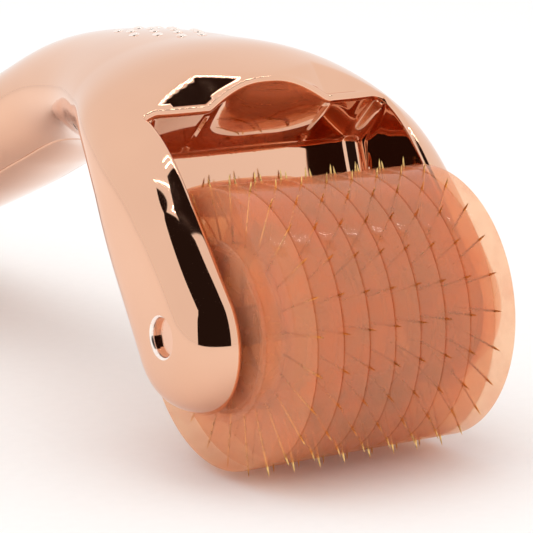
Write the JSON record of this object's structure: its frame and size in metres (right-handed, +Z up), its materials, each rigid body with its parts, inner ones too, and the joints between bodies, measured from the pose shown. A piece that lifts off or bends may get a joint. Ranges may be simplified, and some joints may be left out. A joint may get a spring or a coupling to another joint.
{
  "type": "micro-needle skin roller",
  "caption": "Hand-held skin roller: a curved mirror-plated handle ends in a hooded two-armed fork that carries a clear drum of stacked discs with rows of fine needles.",
  "frame": {"origin": "centre of the part's footprint on the surface it rests on, below the middle of its bounding box", "axes": "+X along the axle from left arm to right arm, +Y from the drum towards the handle's end, +Z up from the surface"},
  "size_m": [0.0304, 0.1342, 0.0321],
  "materials": {
    "plating": "vacuum-plated rose-gold mirror over moulded plastic",
    "plated_steel": "rose-gold plated steel, polished",
    "clear_core": "clear tinted moulded plastic",
    "clear_disc": "clear orange-pink tinted plastic, glossy",
    "gold_needle": "gold-coloured coated steel"
  },
  "bodies": {
    "handle": {"handle_shell": "plating", "underside_cover": "plating", "axle": "plated_steel"},
    "drum": {"spool": "clear_core", "left_hub_cap": "clear_core", "right_hub_cap": "clear_core", "disc_1": "clear_disc", "disc_2": "clear_disc", "disc_3": "clear_disc", "disc_4": "clear_disc", "disc_5": "clear_disc", "disc_6": "clear_disc", "disc_7": "clear_disc", "disc_8": "clear_disc", "disc_9": "clear_disc", "needle_row_1": "gold_needle", "needle_row_2": "gold_needle", "needle_row_3": "gold_needle", "needle_row_4": "gold_needle", "needle_row_5": "gold_needle", "needle_row_6": "gold_needle", "needle_row_7": "gold_needle", "needle_row_8": "gold_needle"}
  },
  "joints": [
    {"name": "drum_spin", "type": "hinge", "parent": "handle", "child": "drum", "pos_m": [0, -0.05534, 0.01172], "axis": [1, 0, 0], "continuous": true}
  ]
}
